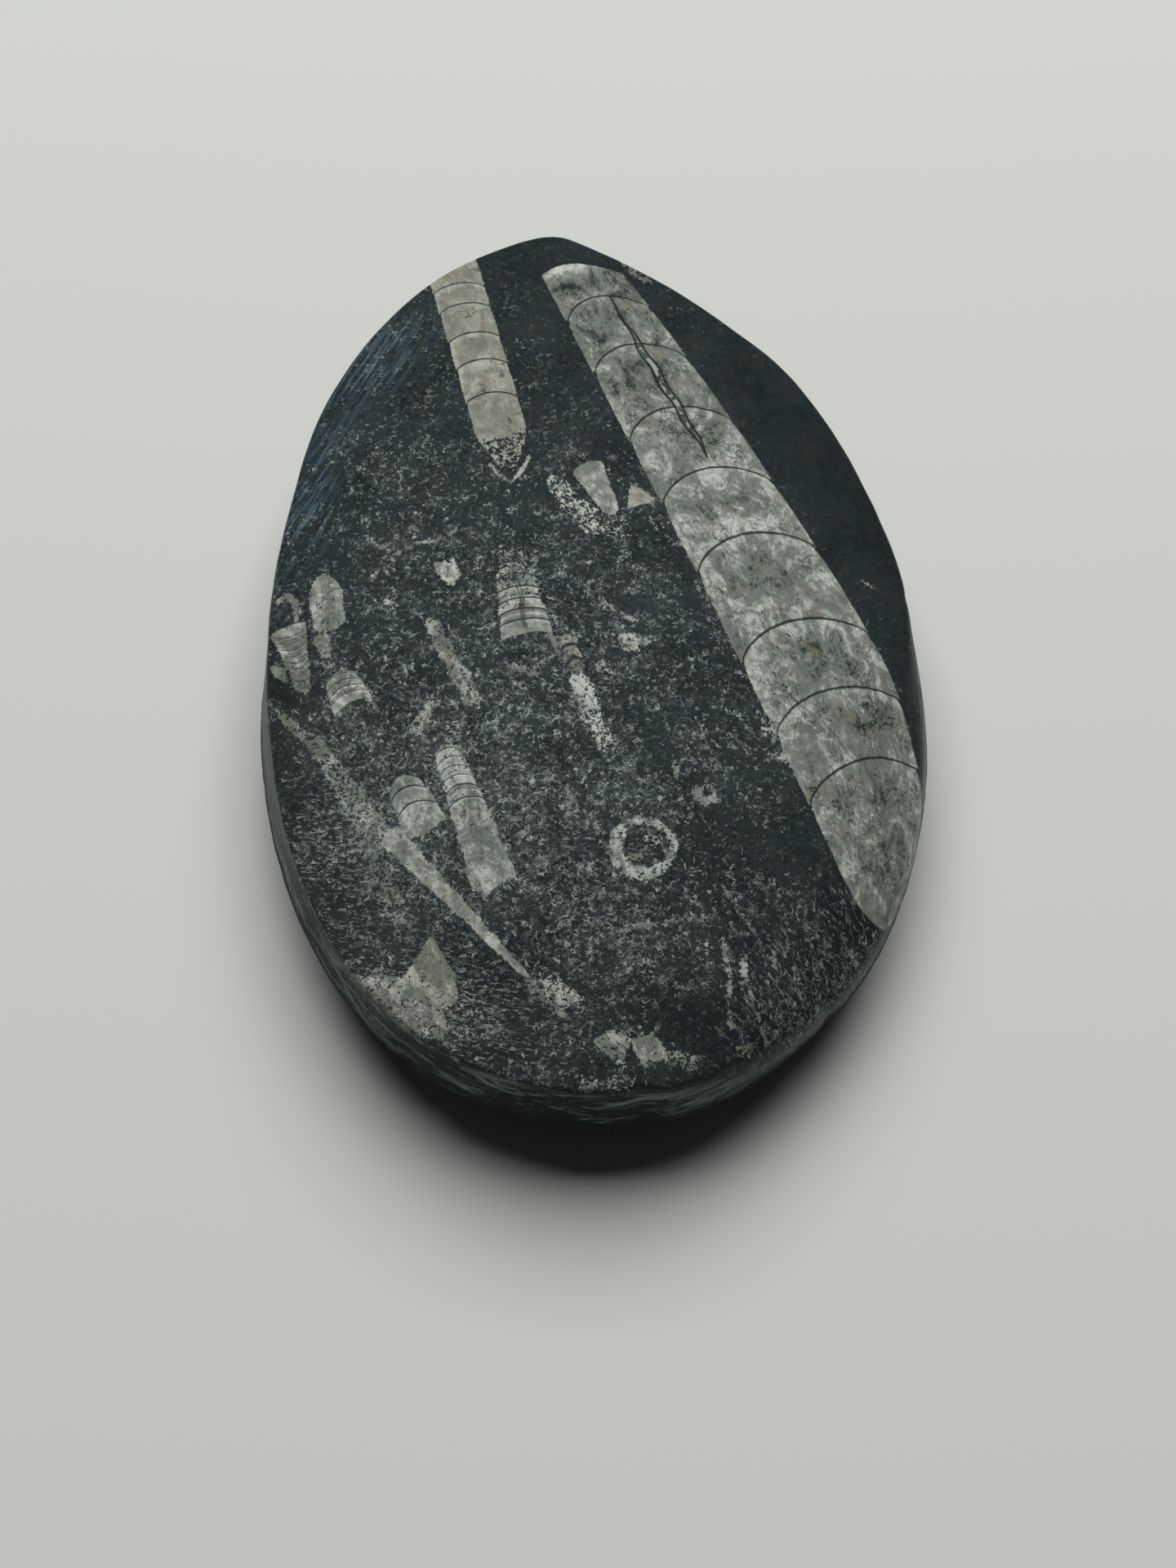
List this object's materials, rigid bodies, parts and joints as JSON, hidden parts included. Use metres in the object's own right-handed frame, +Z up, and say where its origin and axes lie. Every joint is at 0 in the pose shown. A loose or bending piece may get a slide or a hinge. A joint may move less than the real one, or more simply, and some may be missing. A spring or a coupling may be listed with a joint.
{
  "type": "orthoceras fossil slab",
  "caption": "Egg-shaped slab of black limestone with a low polished dome, cone-shaped chambered shells cut flush in its face and a flat to rest on.",
  "frame": {"origin": "bottom centre of the stone's bounding box, on the plane of the resting flat", "axes": "+Z up out of the domed polished face, +Y towards the pointed end, +X to the right seen from above"},
  "size_m": [0.0738, 0.109, 0.0185],
  "materials": {
    "fossil_limestone": "satin-polished black limestone with grey and cream calcite fossils flush in it, and a rough-sawn underside"
  },
  "bodies": {
    "root": {"fossil_stone": "fossil_limestone"}
  },
  "joints": []
}
